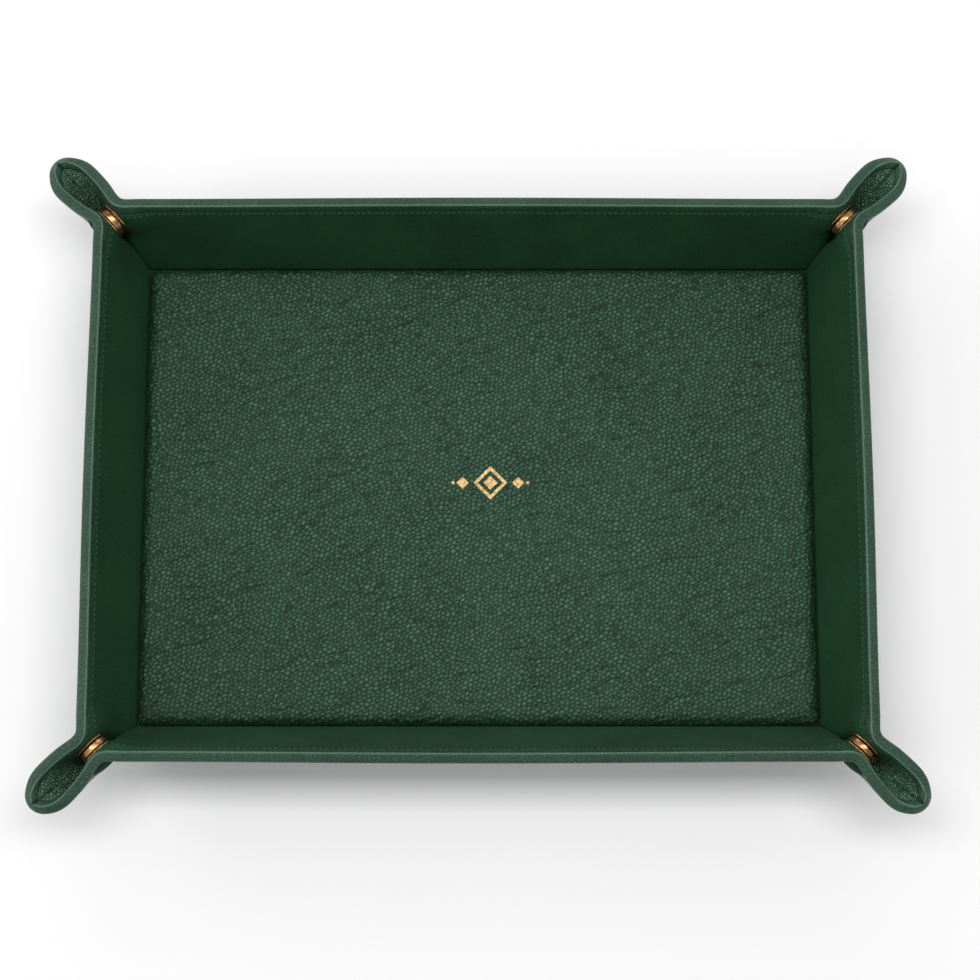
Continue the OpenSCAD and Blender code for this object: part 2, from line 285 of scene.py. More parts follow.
def skin_painted_highlight():
    """How strongly each row of the outer leather is painted lighter: two painted highlight lines
    along the turned rim, where light catches its edges.
    """
    a = np.linspace(0, 180, RIM_ROWS)
    # painted highlights: a strong line on the rim's inner side and a faint one on its outer side
    line = np.exp(-((a - 138) / 11) ** 2) + 0.2 * np.exp(-((a - 48) / 13) ** 2)
    shine = np.zeros(len(skin_section()))
    shine[FACE_ROWS:FACE_ROWS + RIM_ROWS] = line
    return shine


def lining_section():
    """Rows of the lining."""
    top = TURN_IN + LINING_GAP
    rows = [(f, 0, -HALF) for f in np.linspace(0.02, BACK_TOP, FACE_ROWS)]
    rows += [(None, top + 0.45, -HALF), (None, top + 0.15, 0.06 - HALF)]
    rows += [(None, top, 0.3 - HALF), (None, top, -0.62)]
    rows += [(f, 0, -0.5) for f in np.linspace(0.92, 0.02, FACE_ROWS + 2)]
    return rows


def ripple(x, y):
    """Slow unevenness of soft leather, about -1 to 1."""
    return (np.sin(0.21 * x + 0.13 * y + 0.5) * np.sin(0.09 * x - 0.31 * y + 1.3)
            + 0.6 * np.sin(0.47 * x + 0.22 * y) * np.sin(0.33 * y - 0.12 * x + 2.1)) / 1.6


def section_points(rows, psi):
    """rho and t of every row at every sheet angle, shaped (angles, rows)."""
    face_top = edge_rho(psi, RIM_DEEP)
    rho = np.empty((len(psi), len(rows)))
    t = np.empty_like(rho)
    for k, (share, inset, depth) in enumerate(rows):
        if share is None:
            rho[:, k] = edge_rho(psi, inset)
        else:
            rho[:, k] = share * (face_top - FACE_FOOT) + FACE_FOOT
        t[:, k] = depth
    return rho, t


PLEAT_WIDTH = 0.6          # degrees
PLEAT_DEEP = 0.85
PLEAT_FROM = 27            # distance from the fold point at which it starts
PLEAT_RISE = 6


def tip_groove(psi, rho, t):
    """The short pleat inside the ear's tip, cutting into the rim's inner half."""
    near = np.exp(-((psi[:, None] - TIP) / PLEAT_WIDTH) ** 2)
    high = smooth((rho - PLEAT_FROM) / PLEAT_RISE)
    return t + PLEAT_DEEP * near * high * smooth((-0.5 - t) / 0.9)


# ---- mesh making ----

SHARP = math.radians(48)   # edges that turn more than this are shaded sharp


def link_mesh(name, verts, faces, material):
    """A smooth-shaded mesh object from points in millimetres."""
    mesh = bpy.data.meshes.new(name)
    mesh.from_pydata((np.asarray(verts, float) * MM).tolist(), [], faces)
    mesh.materials.append(material)
    mesh.polygons.foreach_set("use_smooth", [True] * len(mesh.polygons))
    mesh.update()
    mesh.set_sharp_from_angle(angle=SHARP)
    obj = bpy.data.objects.new(name, mesh)
    bpy.context.scene.collection.objects.link(obj)
    return obj


def mark(obj, name, values):
    """Stores a number at every vertex, for a material to read."""
    attribute = obj.data.attributes.new(name, "FLOAT", "POINT")
    attribute.data.foreach_set("value", np.asarray(values, np.float32))


def mark_painted_highlight(obj):
    """Marks the painted highlight lines along the rim on a lofted piece of the outer leather."""
    shine = skin_painted_highlight()
    mark(obj, "edge", np.tile(shine, len(obj.data.vertices) // len(shine)))
    return obj


def outward(verts, faces):
    """The faces, turned so that a closed mesh has its normals outside."""
    v = np.asarray(verts, float)
    volume = 0.0
    for f in faces:
        a = v[f[0]]
        for k in range(1, len(f) - 1):
            volume += np.dot(a, np.cross(v[f[k]], v[f[k + 1]]))
    return faces if volume > 0 else [tuple(reversed(f)) for f in faces]


def loft(points):
    """Vertices and faces of a solid whose columns are closed loops, capped at both ends."""
    cols, rows = points.shape[:2]
    faces = []
    for c in range(cols - 1):
        for r in range(rows):
            s = (r + 1) % rows
            faces.append((c * rows + r, c * rows + s, (c + 1) * rows + s, (c + 1) * rows + r))
    last = (cols - 1) * rows
    for i in range(rows // 2 - 1):
        j = rows - 1 - i
        faces.append((i + 1, i, j, j - 1))
        faces.append((last + i, last + i + 1, last + j - 1, last + j))
    verts = points.reshape(-1, 3)
    return verts, outward(verts, faces)


def merged(parts):
    """Several (verts, faces) as one."""
    verts = []
    faces = []
    for v, f in parts:
        start = len(verts)
        verts.extend(np.asarray(v).tolist())
        faces.extend(tuple(i + start for i in face) for face in f)
    return verts, faces


def spun(profile, segments=96):
    """Solid of revolution about +y from an (r, y) profile that starts and ends on the axis."""
    angles = np.linspace(0, 2 * np.pi, segments, endpoint=False)
    round_points = np.array([[r * math.cos(a), y, r * math.sin(a)]
                             for r, y in profile[1:-1] for a in angles])
    count = len(profile) - 2
    verts = np.vstack([round_points, [[0, profile[0][1], 0], [0, profile[-1][1], 0]]])
    faces = []
    for k in range(count - 1):
        for i in range(segments):
            j = (i + 1) % segments
            faces.append((k * segments + i, k * segments + j,
                          (k + 1) * segments + j, (k + 1) * segments + i))
    for i in range(segments):
        j = (i + 1) % segments
        faces.append((count * segments, j, i))
        faces.append((count * segments + 1, (count - 1) * segments + i,
                      (count - 1) * segments + j))
    return verts, outward(verts, faces)


# ---- materials ----

def srgb(r, g, b):
    """A colour given as screen values 0 to 255, as linear light."""
    def linear(c):
        c = c / 255
        return c / 12.92 if c <= 0.04045 else ((c + 0.055) / 1.055) ** 2.4
    return (linear(r), linear(g), linear(b), 1.0)


MIX_SHARE, MIX_A, MIX_B, MIX_COLOUR = 0, 6, 7, 2   # the Mix node's sockets for colours


class Nodes:
    """Short calls for building a material's node tree."""

    def __init__(self, name):
        self.material = bpy.data.materials.new(name)
        self.material.use_nodes = True
        self.tree = self.material.node_tree
        self.shader = self.tree.nodes["Principled BSDF"]
        self.place = self.add("ShaderNodeTexCoord").outputs["Object"]

    def add(self, kind, **values):
        """A new node with those properties."""
        node = self.tree.nodes.new(kind)
        for key, value in values.items():
            setattr(node, key, value)
        return node

    def link(self, a, b):
        self.tree.links.new(a, b)

    def noise(self, size, detail):
        """Soft noise whose blots are about size across, 0 to 1."""
        node = self.add("ShaderNodeTexNoise")
        node.inputs["Scale"].default_value = 1 / (size * MM)
        node.inputs["Detail"].default_value = detail
        node.inputs["Roughness"].default_value = 0.55
        self.link(self.place, node.inputs["Vector"])
        return node.outputs["Fac"]

    def cells(self, size):
        """Distance to the edge of the pebble that a point is in."""
        node = self.add("ShaderNodeTexVoronoi", feature="DISTANCE_TO_EDGE")
        node.inputs["Scale"].default_value = 1 / (size * MM)
        self.link(self.place, node.inputs["Vector"])
        return node.outputs["Distance"]

    def fit(self, value, low, high, out_low=0.0, out_high=1.0):
        """A value between low and high, eased into the other range."""
        node = self.add("ShaderNodeMapRange", interpolation_type="SMOOTHSTEP")
        self.link(value, node.inputs["Value"])
        for key, v in zip(("From Min", "From Max", "To Min", "To Max"),
                          (low, high, out_low, out_high)):
            node.inputs[key].default_value = v
        return node.outputs["Result"]

    def math(self, op, a, b):
        """One sum or product of two values, each a number or an output."""
        node = self.add("ShaderNodeMath", operation=op)
        for socket, v in zip(node.inputs, (a, b)):
            if isinstance(v, (int, float)):
                socket.default_value = v
            else:
                self.link(v, socket)
        return node.outputs[0]

    def mark(self, name):
        """The number stored at each vertex under that name."""
        return self.add("ShaderNodeAttribute", attribute_name=name).outputs["Fac"]

    def mix(self, share, a, b):
        """A colour between a and b."""
        node = self.add("ShaderNodeMix", data_type="RGBA")
        self.link(share, node.inputs[MIX_SHARE])
        for socket, v in ((node.inputs[MIX_A], a), (node.inputs[MIX_B], b)):
            if isinstance(v, tuple):
                socket.default_value = v
            else:
                self.link(v, socket)
        return node.outputs[MIX_COLOUR]

    def bump(self, height, depth):
        """A normal from a height of 0 to 1 that stands for that depth."""
        node = self.add("ShaderNodeBump")
        node.inputs["Strength"].default_value = 1.0
        node.inputs["Distance"].default_value = depth * MM
        self.link(height, node.inputs["Height"])
        return node.outputs["Normal"]

    def finish(self, **values):
        """Sets the shader's inputs and hands over the material."""
        for key, value in values.items():
            socket = self.shader.inputs[key.replace("_", " ")]
            if isinstance(value, (int, float, tuple)):
                socket.default_value = value
            else:
                self.link(value, socket)
        return self.material


LINING_DARK = srgb(19, 53, 30)
LINING_LIGHT = srgb(34, 77, 48)
LINING_ROUGH = 0.5
LINING_GLOSS = 0.18


def grain_leather(name, dark, light, pebble, depth, rough, gloss=0.2, tops_share=0.45,
                  dye_share=0.25, painted_rim_highlight=None, turns_smooth=False):
    """Pebbled leather: cells with soft tops, pores, uneven dye and worn-smooth patches. The tops
    are painted lighter than the cells' edges, a painted shade in the valleys between pebbles.

    The rim colour given is painted as highlight lines where a piece is marked "edge". turns_smooth
    makes it run into the smooth lining where a piece's mark "open" falls to 0, and darkens it
    as painted shade in the deep fold toward the neck, where that mark is below 1.
    """
    m = Nodes(name)
    tops = m.fit(m.cells(pebble), 0.0, 0.32)
    pores = m.noise(pebble * 0.22, 2.0)
    height = m.math("ADD", tops, m.math("MULTIPLY", pores, 0.02 / depth))
    dye = m.fit(m.noise(26, 3.0), 0.35, 0.65)
    # painted shade: pebble tops are painted lighter and the cells' edges darker, as shade in the
    # valleys; the dye noise is real uneven dye
    shade = m.math("ADD", m.math("MULTIPLY", tops, tops_share), m.math("MULTIPLY", dye, dye_share))
    colour = m.mix(shade, dark, light)
    # painted highlight: the rows marked edge along the rim are mixed toward the lighter rim colour
    if painted_rim_highlight:
        colour = m.mix(m.math("MULTIPLY", m.mark("edge"), 0.55), colour, painted_rim_highlight)
    worn = m.fit(m.noise(9, 4.0), 0.3, 0.7, rough - 0.06, rough + 0.07)
    if turns_smooth:
        share = m.mark("open")
        even = m.math("ADD", m.math("MULTIPLY", tops, 0.45), m.math("MULTIPLY", dye, dye_share))
        # painted shade: the ear's lining is darkened in the deep fold toward the neck, where the
        # mark open is below 1
        colour = m.mix(m.fit(share, 0.5, 1, 0.25, 1), dark, colour)
        colour = m.mix(share, m.mix(even, LINING_DARK, LINING_LIGHT), colour)
        height = m.math("MULTIPLY", height, m.fit(share, 0, 1, 0.12, 1))
        worn = m.math("MULTIPLY", worn, m.fit(share, 0, 1, LINING_ROUGH / rough, 1))
        gloss = m.fit(share, 0, 1, LINING_GLOSS, gloss)
    return m.finish(Base_Color=colour, Roughness=worn, Normal=m.bump(height, depth),
                    Specular_IOR_Level=gloss, Sheen_Weight=0.03, Sheen_Roughness=0.4)


def floor_material():
    """The padded floor's leather: colour follows its real pebbles and is painted lighter on their
    tops and darker as shade in valleys, creases, folds and near the edge, with a fine bump on top.
    """
    m = Nodes("floor_pebbled_leather")
    top = m.mark("pebble")
    fine = m.noise(0.36, 3.0)
    dye = m.fit(m.noise(30, 3.0), 0.3, 0.7, 0.03, 0.08)
    speck = m.fit(m.noise(0.5, 2.0), 0.35, 0.65, 0.62, 1.0)
    shade = m.math("ADD", m.math("MULTIPLY", top, speck), dye)
    colour = m.mix(shade, srgb(2, 22, 9), srgb(74, 121, 90))
    rough = m.fit(top, 0.0, 1.0, 0.62, 0.4)
    return m.finish(Base_Color=colour, Roughness=rough, Normal=m.bump(fine, 0.07),
                    Specular_IOR_Level=0.2, Sheen_Weight=0.02, Sheen_Roughness=0.45)


def metal(name, light, dark, rough, depth=0.003, spot=2.2):
    """Polished metal with faint tarnish and hairline wear."""
    m = Nodes(name)
    tarnish = m.fit(m.noise(spot, 4.0), 0.4, 0.66)
    colour = m.mix(tarnish, light, dark)
    worn = m.fit(m.noise(0.8, 3.0), 0.3, 0.7, rough - 0.05, rough + 0.08)
    return m.finish(Base_Color=colour, Metallic=1.0, Roughness=worn,
                    Normal=m.bump(m.noise(0.25, 2.0), depth))


def cap_paint():
    """Leather-green baked paint on the outer caps, slightly orange-peeled."""
    m = Nodes("painted_cap_green")
    worn = m.fit(m.noise(1.8, 4.0), 0.35, 0.75)
    colour = m.mix(worn, srgb(14, 40, 25), srgb(23, 54, 36))
    return m.finish(Base_Color=colour, Roughness=m.fit(worn, 0, 1, 0.6, 0.7),
                    Normal=m.bump(m.noise(0.5, 2.0), 0.02), Specular_IOR_Level=0.04)


def thread():
    """Waxed tone-on-tone thread with a twisted ply."""
    m = Nodes("stitch_thread")
    wave = m.add("ShaderNodeTexWave", wave_type="BANDS", bands_direction="DIAGONAL")
    wave.inputs["Scale"].default_value = 1 / (2.2 * MM)
    m.link(m.place, wave.inputs["Vector"])
    colour = m.mix(wave.outputs["Fac"], srgb(30, 66, 44), srgb(52, 94, 66))
    return m.finish(Base_Color=colour, Roughness=0.55,
                    Normal=m.bump(wave.outputs["Fac"], 0.05))


def table_top():
    """Matt, almost white card."""
    m = Nodes("pale_table")
    tone = m.fit(m.noise(180, 2.0), 0.3, 0.7)
    colour = m.mix(tone, (0.895, 0.895, 0.895, 1), (0.905, 0.905, 0.905, 1))
    return m.finish(Base_Color=colour, Roughness=0.85, Specular_IOR_Level=0.1)


# The outer leather's lighter rim colour is a painted highlight along the rim's edges.
OUTER = grain_leather("outer_pebbled_leather", srgb(23, 54, 37), srgb(49, 87, 64), 0.95, 0.08,
                      0.38, 0.34, painted_rim_highlight=srgb(104, 140, 116))
LINING = grain_leather("lining_smooth_leather", LINING_DARK, LINING_LIGHT, 0.8, 0.045,
                       LINING_ROUGH, LINING_GLOSS)
# The ear's lining: near-black valleys and bright pebble tops, painted shade and painted highlights
# on the pebbles.
EAR_LINING = grain_leather("ear_pebbled_lining", srgb(1, 8, 4), srgb(100, 150, 118), 0.85, 0.3, 0.34,
                           0.35, 0.72, turns_smooth=True)
FLOOR = floor_material()
BRASS = metal("snap_brass", (0.66, 0.42, 0.20, 1), (0.28, 0.16, 0.07, 1), 0.28)
FOIL = metal("gold_foil", (0.66, 0.47, 0.23, 1), (0.34, 0.22, 0.09, 1), 0.52, 0.03, 0.6)
CAPS = cap_paint()
THREAD = thread()


# ---- walls ----

WALL_STEP = 2.8            # spacing of a wall's columns
RIPPLE = 0.05              # height of the leather's slow unevenness
SEAM_POINTS = 120          # points of the path that a wall's stitches follow


def wall_piece(wall, rows, name, material):
    """One layer of a straight wall, between its two necks."""
    reach = wall_reach(wall)
    s = np.linspace(-reach, reach, int(reach * 2 / WALL_STEP))
    rho, t = section_points(rows, np.zeros(1))
    lift = RIPPLE * ripple(s[:, None], rho) * np.sin(np.pi * np.clip(rho / WALL_H, 0, 1))
    fade = 1 - (s[:, None] / reach) ** 8
    return link_mesh(name, *loft(wall_leather(wall, s[:, None], rho, t + lift * fade)), material)


THREAD_R = 0.15            # radius of the thread
THREAD_SINK = 0.03         # how far a stitch's ends lie in the leather
THREAD_RISE = 0.07         # and how far its middle rises
STITCH_GAP = 0.16          # share of the pitch left free at each end of a stitch


def stitch(a, b, normal):
    """One sewn stitch from a to b lying on a surface with that normal."""
    sides = 8
    steps = 7
    axis = unit(b - a)
    across = unit(np.cross(axis, normal))
    up = np.cross(across, axis)
    verts = []
    for k in range(steps):
        f = k / (steps - 1)
        thick = THREAD_R * (1 - abs(2 * f - 1) ** 3 * 0.75)
        centre = a + (b - a) * f + up * (THREAD_RISE * math.sin(math.pi * f) - THREAD_SINK)
        for i in range(sides):
            w = 2 * math.pi * i / sides
            verts.append(centre + across * thick * math.cos(w) + up * thick * 0.8 * math.sin(w))
    faces = [(k * sides + i, k * sides + (i + 1) % sides,
              (k + 1) * sides + (i + 1) % sides, (k + 1) * sides + i)
             for k in range(steps - 1) for i in range(sides)]
    faces.append(tuple(reversed(range(sides))))
    faces.append(tuple(range((steps - 1) * sides, steps * sides)))
    return verts, outward(verts, faces)


def sewn_along(path, normals, name):
    """Stitches at an even pitch along a path of close points."""
    lengths = np.concatenate([[0], np.cumsum(np.linalg.norm(np.diff(path, axis=0), axis=1))])
    count = max(1, round(lengths[-1] / STITCH_PITCH))
    pitch = lengths[-1] / count

    def at(table, where):
        return np.array([np.interp(where, lengths, table[:, i]) for i in range(3)])

    parts = []
    for k in range(count):
        start = (k + STITCH_GAP) * pitch
        end = (k + 1 - STITCH_GAP) * pitch
        n = unit(at(normals, (start + end) / 2))
        parts.append(stitch(at(path, start), at(path, end), n))
    return link_mesh(name, *merged(parts), THREAD)


def build_walls():
    """The skin, lining and stitches of the four walls."""
    for wall in WALLS:
        body = f"wall_{wall}"
        skin = mark_painted_highlight(wall_piece(wall, skin_section(), f"{body}_skin", OUTER))
        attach(skin, body)
        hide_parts(f"{body}_outer", f"{body}_board")
        lining = wall_piece(wall, lining_section(), f"{body}_lining_leather", LINING)
        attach(lining, body)
        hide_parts(f"{body}_lining")
        s = np.linspace(-wall_reach(wall), wall_reach(wall), SEAM_POINTS)
        path = wall_leather(wall, s, WALL_H - STITCH_IN, -HALF)
        inner = wall_leather(wall, s, WALL_H - STITCH_IN, -HALF - 1) - path
        seam = sewn_along(path, inner, f"{body}_stitches")
        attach(seam, body)


# ---- corners ----


JOIN_COLUMNS = 8
NECK_COLUMNS = 34
SIDE_COLUMNS = 25
TIP_COLUMNS = 16
TIP_PSI = 40               # sheet angle from which the columns stand closer, for the pleat


def corner_columns(part):
    """Shift along the crease and sheet angle of each column of a corner piece."""
    if part == "neck":
        shift = np.concatenate([np.linspace(JOIN, 0, JOIN_COLUMNS + 1)[:-1], np.zeros(NECK_COLUMNS)])
        psi = np.concatenate([np.zeros(JOIN_COLUMNS), np.linspace(0, SPLIT, NECK_COLUMNS)])
    else:
        side = np.linspace(SPLIT, TIP_PSI, SIDE_COLUMNS + 1)[:-1]
        psi = np.concatenate([side, np.linspace(TIP_PSI, TIP, TIP_COLUMNS)])
        shift = np.zeros_like(psi)
    return shift, psi


def corner_piece(corner, half, part, rows, name, material):
    """One layer of the neck or the nose of a half ear."""
    shift, psi = corner_columns(part)
    rho, t = section_points(rows, psi)
    t = tip_groove(psi, rho, t)
    p = corner_leather(shift[:, None], psi[:, None], rho, t)
    return link_mesh(name, *loft(to_tray(corner, half, p)), material)


PEBBLES_FROM = 13          # sheet angle from which the ear's lining turns pebbled
PEBBLES_RISE = 22


def pebbled(obj, part):
    """Marks how strongly the lining's pebbles show, growing from the neck to the ear's tip; the same
    mark sets the painted shade that darkens the lining toward the neck.
    """
    _, psi = corner_columns(part)
    rows = len(obj.data.vertices) // len(psi)
    mark(obj, "open", np.repeat(smooth((psi - PEBBLES_FROM) / PEBBLES_RISE), rows))


def corner_stitches(corner, half, name):
    """The stitches that run on from the wall into the neck."""
    shift, psi = corner_columns("neck")
    shift = shift[psi <= STITCH_END]
    psi = psi[psi <= STITCH_END]
    rho = edge_rho(psi, STITCH_IN)
    path = to_tray(corner, half, corner_leather(shift, psi, rho, -HALF))
    inner = to_tray(corner, half, corner_leather(shift, psi, rho, -HALF - 1)) - path
    return sewn_along(path, inner, name)


def bend(obj, part):
    """Bakes a corner piece's placement into its mesh; it is not hung from any body."""
    if part == "neck":
        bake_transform(obj)
    else:
        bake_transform(obj)


def build_corners():
    """The necks and noses of the eight half ears."""
    for corner in CORNERS:
        for half in ("long", "short"):
            for part, node in (("neck", "side"), ("nose", "tip")):
                ear = f"ear_{corner}_{half}"
                skin = mark_painted_highlight(corner_piece(corner, half, part, skin_section(),
                                           f"{ear}_{part}_skin", OUTER))
                bend(skin, part)
                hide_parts(f"{ear}_{node}")
                lining = corner_piece(corner, half, part, lining_section(),
                                      f"{ear}_{part}_lining", EAR_LINING)
                pebbled(lining, part)
                bend(lining, part)
                if part == "neck":
                    seam = corner_stitches(corner, half, f"{ear}_neck_stitches")
                    bend(seam, part)


# ---- base ----

ROUND_THE_BASE = ((1, -1), (1, 1), (-1, 1), (-1, -1))


def ring(out, z, straight=30, round_steps=9):
    """Points round the base at a distance out from the crease axes."""
    points = []
    r = max(out, 0)
    corner = np.array([HALF_X, HALF_Y]) + min(out, 0)
    quarter = math.radians(90)
    for k, signs in enumerate(ROUND_THE_BASE):
        x, y = corner * signs
        a0 = quarter * (k - 1)
        for i in range(round_steps):
            a = a0 + quarter * i / (round_steps - 1)
            points.append((x + r * math.cos(a), y + r * math.sin(a), z))
        rim = r * np.array([math.cos(a0 + quarter), math.sin(a0 + quarter)])
        start = np.array([x, y]) + rim
        end = corner * ROUND_THE_BASE[(k + 1) % 4] + rim
        for i in range(1, straight):
            points.append((*(start + (end - start) * i / straight), z))
    return points


BASE_FLAT = -30            # innermost ring of the base, from the creases outward


def base_skin():
    """The outer leather under the floor, rolling up round the four creases."""
    roll = HALF - 0.02
    loops = [(BASE_FLAT, 0), (-6, 0), (-1.5, 0), (0, 0)]
    loops += [(roll * math.cos(a), AXIS_Z + roll * math.sin(a))
              for a in np.radians(np.arange(-80, 11, 10))]
    loops += [(0.7, AXIS_Z), (-0.8, PLATE_TOP), (BASE_FLAT, PLATE_TOP)]
    rings = [ring(o, z) for o, z in loops]
    size = len(rings[0])
    verts = [p for points in rings for p in points]
    faces = []
    for k in range(len(rings) - 1):
        for i in range(size):
            j = (i + 1) % size
            faces.append((k * size + i, k * size + j, (k + 1) * size + j, (k + 1) * size + i))
    faces.append(tuple(reversed(range(size))))
    faces.append(tuple(range((len(rings) - 1) * size, len(rings) * size)))
    obj = link_mesh("base_skin", verts, outward(verts, faces), OUTER)
    # painted shade: the darker lining leather is put on the outer leather's strip that shows from
    # above in the creases, where shade falls
    obj.data.materials.append(LINING)   # for the strip that shows from above, in the creases
    for face in obj.data.polygons:
        if face.center.z > 0.8 * PLATE_TOP * MM and face.normal.z > 0.2:
            face.material_index = 1
    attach(obj, "base")
    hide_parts("base_outer", "base_board")


# ---- padded floor ----

PAD_X = PAD_HIGH[0]
PAD_Y = PAD_HIGH[1]
PAD_Z = PAD_HIGH[2]
PAD_FOOT = PAD_LOW[2]
PEBBLE = 1.38              # pitch of the pebbles
PEBBLE_LONG = 1.12         # their length and width, as shares of the pitch
PEBBLE_WIDE = 0.78
PEBBLE_TILT = math.radians(27)   # slant of their rows
PEBBLE_JITTER = 0.74       # how far a pebble strays, as a share of its cell
PEBBLE_HIGH = 0.34
CREASE = 4.2               # spacing of the wandering creases
CREASE_HALF = 0.26         # half the width of one
CREASE_DEEP = 0.16
SHOULDER = 3.6             # width over which the padding rolls down to its edge
EDGE_UP = 0.5              # height of the leather at that edge, above its foot
EDGE_BLEND = 0.6           # how softly the four shoulders meet at the corners
CORNER_R = 0.6             # corner radius of the pad's outline
CROWN = 0.25               # how much the middle of the pad stands up
PUCKER = 0.2               # depth of the loose folds along the edges
FAN = 0.32                 # and of those that fan out at the corners
GRID_STEP = 0.37
GRID_EDGE = (0, 0.05, 0.16, 0.32, 0.55, 0.85, 1.2)   # closer rows along the edge
GRID_INNER = 1.6           # distance from the edge at which the even rows start
FOIL_C = (FOIL_LOW + FOIL_HIGH) / 2
FOIL_H = FOIL_HIGH[1] - FOIL_LOW[1]
FOIL_LIFT = 0.06           # how far the foil's top stands above the leather
FOIL_THICK = 0.12
FOIL_STEP = 0.16
STAMP_EDGE = 0.15          # how far the pressed area reaches past the foil
FRAME_HOLE = 0.37          # inner and outer half widths of the lozenge frame, in FOIL_H
FRAME_EDGE = 0.5
LOZENGES = [(0, 0.42)] + [(s * x, w) for s in (-1, 1) for x, w in ((0.82, 0.36), (1.1, 0.12))]


def hashed(i, j, salt):
    """Repeatable scatter from 0 to 1 for a lattice cell."""
    v = np.sin(i * 127.1 + j * 311.7 + salt * 74.7) * 43758.5453
    return v - np.floor(v)


def pebbles(x, y):
    """(height 0..1, tone 0..1) of the pebbled grain at points in millimetres."""
    c = math.cos(PEBBLE_TILT)
    s = math.sin(PEBBLE_TILT)
    wave = 0.5 * np.sin(x * 0.13 + 1.1) * np.sin(y * 0.17)
    u = (x * c + y * s) / (PEBBLE * PEBBLE_LONG) + wave
    v = (y * c - x * s) / (PEBBLE * PEBBLE_WIDE) + 0.4 * np.sin(x * 0.11 - y * 0.07)
    first = np.full(u.shape, 9.0)
    second = np.full(u.shape, 9.0)
    tone = np.zeros(u.shape)
    for dj in (-1, 0, 1):
        j = np.floor(v) + dj
        for di in (-2, -1, 0, 1, 2):
            i = np.floor(u) + di
            cx = i + 0.5 * (j % 2) + 0.5 + PEBBLE_JITTER * (hashed(i, j, 1) - 0.5)
            cy = j + 0.5 + PEBBLE_JITTER * (hashed(i, j, 2) - 0.5)
            d = np.hypot(u - cx, (v - cy) * 0.93)
            nearer = d < first
            second = np.where(nearer, first, np.minimum(second, d))
            tone = np.where(nearer, hashed(i, j, 3), tone)
            first = np.where(nearer, d, first)
    return smooth((second - first) / 0.8), tone


def wrinkles(x, y):
    """Fine wandering creases between groups of pebbles, 0 to 1."""
    sway = 0.7 * np.sin(x * 0.31 + 0.6) + 1.1 * np.sin(x * 0.093 + y * 0.05 + 2)
    field = (y - 0.3 * x + sway + 0.7 * np.sin(y * 0.61 + x * 0.17)) / CREASE
    near = np.abs(field - np.round(field)) * CREASE
    patch = np.sin(x * 0.23 + 1.7 * np.sin(y * 0.17)) * np.sin(y * 0.29 + x * 0.11 + 1)
    return np.exp(-(near / CREASE_HALF) ** 2) * smooth(0.4 + 1.2 * patch)


def lozenge_share(x, y):
    """1 inside the stamped ornament, 0 outside."""
    inside = np.zeros(x.shape, bool)
    dx = x - FOIL_C[0]
    dy = y - FOIL_C[1]
    for cx, w in LOZENGES:
        inside |= np.abs(dx - cx * FOIL_H) + np.abs(dy) < w * FOIL_H / 2 + STAMP_EDGE
    span = np.abs(dx) + np.abs(dy)
    inside |= (span < FOIL_H * FRAME_EDGE + STAMP_EDGE) & (span > FOIL_H * FRAME_HOLE - STAMP_EDGE)
    return inside.astype(float)


def pad_height(x, y):
    """Height of the floor leather, and how light its colour is painted there.

    e is the distance from the edge. Loose folds run along the edge and fan out at the corners.
    Pebble tops are lighter, and painted shade darkens the pebbles' valleys, the creases, the
    folds' valleys and a band near the edge; each pebble's tone also varies at random.
    """
    ex = PAD_X - np.abs(x)
    ey = PAD_Y - np.abs(y)
    e = -EDGE_BLEND * np.log(np.exp(-ex / EDGE_BLEND) + np.exp(-ey / EDGE_BLEND))
    e = np.maximum(e, 0)
    share = np.clip(e / SHOULDER, 0, 1)
    rise = 1 - (1 - share) ** 2.6
    crown = CROWN * (1 - (x / PAD_X) ** 4) * (1 - (y / PAD_Y) ** 4)
    z = PAD_FOOT + EDGE_UP + (PAD_Z - PAD_FOOT - EDGE_UP) * rise + crown
    edge = np.exp(-e / 2.4)
    loose = np.sin(2 * np.pi * (e / 1.9 + 0.8 * np.sin(x * 0.19 + y * 0.11)
                                + 0.6 * np.sin(y * 0.23 - x * 0.07 + 1)))
    fan = np.sin(2 * np.pi * ((np.abs(x) - np.abs(y)) / 3.1))
    at_corner = np.exp(-(ex + ey) / 9.0)
    top, tone = pebbles(x, y)
    stamped = 1 - 0.75 * lozenge_share(x, y)
    puckers = PUCKER * edge * loose * smooth(e) + FAN * at_corner * fan * smooth(e / 1.2)
    fade = smooth(e / 1.6) * (0.75 + 0.25 * tone)
    crease = wrinkles(x, y)
    z = z + puckers + (PEBBLE_HIGH * top * fade - CREASE_DEEP * crease) * stamped
    # painted shade: darker pebble valleys, fold valleys, creases and a band near the edge by the
    # walls; the pebble tone is real
    valley = edge * smooth(0.2 - loose) + at_corner * smooth(0.2 - fan)
    light = top * (0.66 + 0.34 * tone) * (0.45 + 0.55 * smooth(e / 2.6))
    light = light * (1 - 0.75 * crease) * (1 - 0.6 * np.clip(valley, 0, 1))
    return z, light


def grid_line(half):
    """Places of the floor's grid lines from -half to half, closer together at the ends."""
    ends = half - np.array(GRID_EDGE)
    inner = half - GRID_INNER
    middle = np.linspace(inner, -inner, int(inner * 2 / GRID_STEP))
    return np.concatenate([-ends, middle[::-1], ends[::-1]])


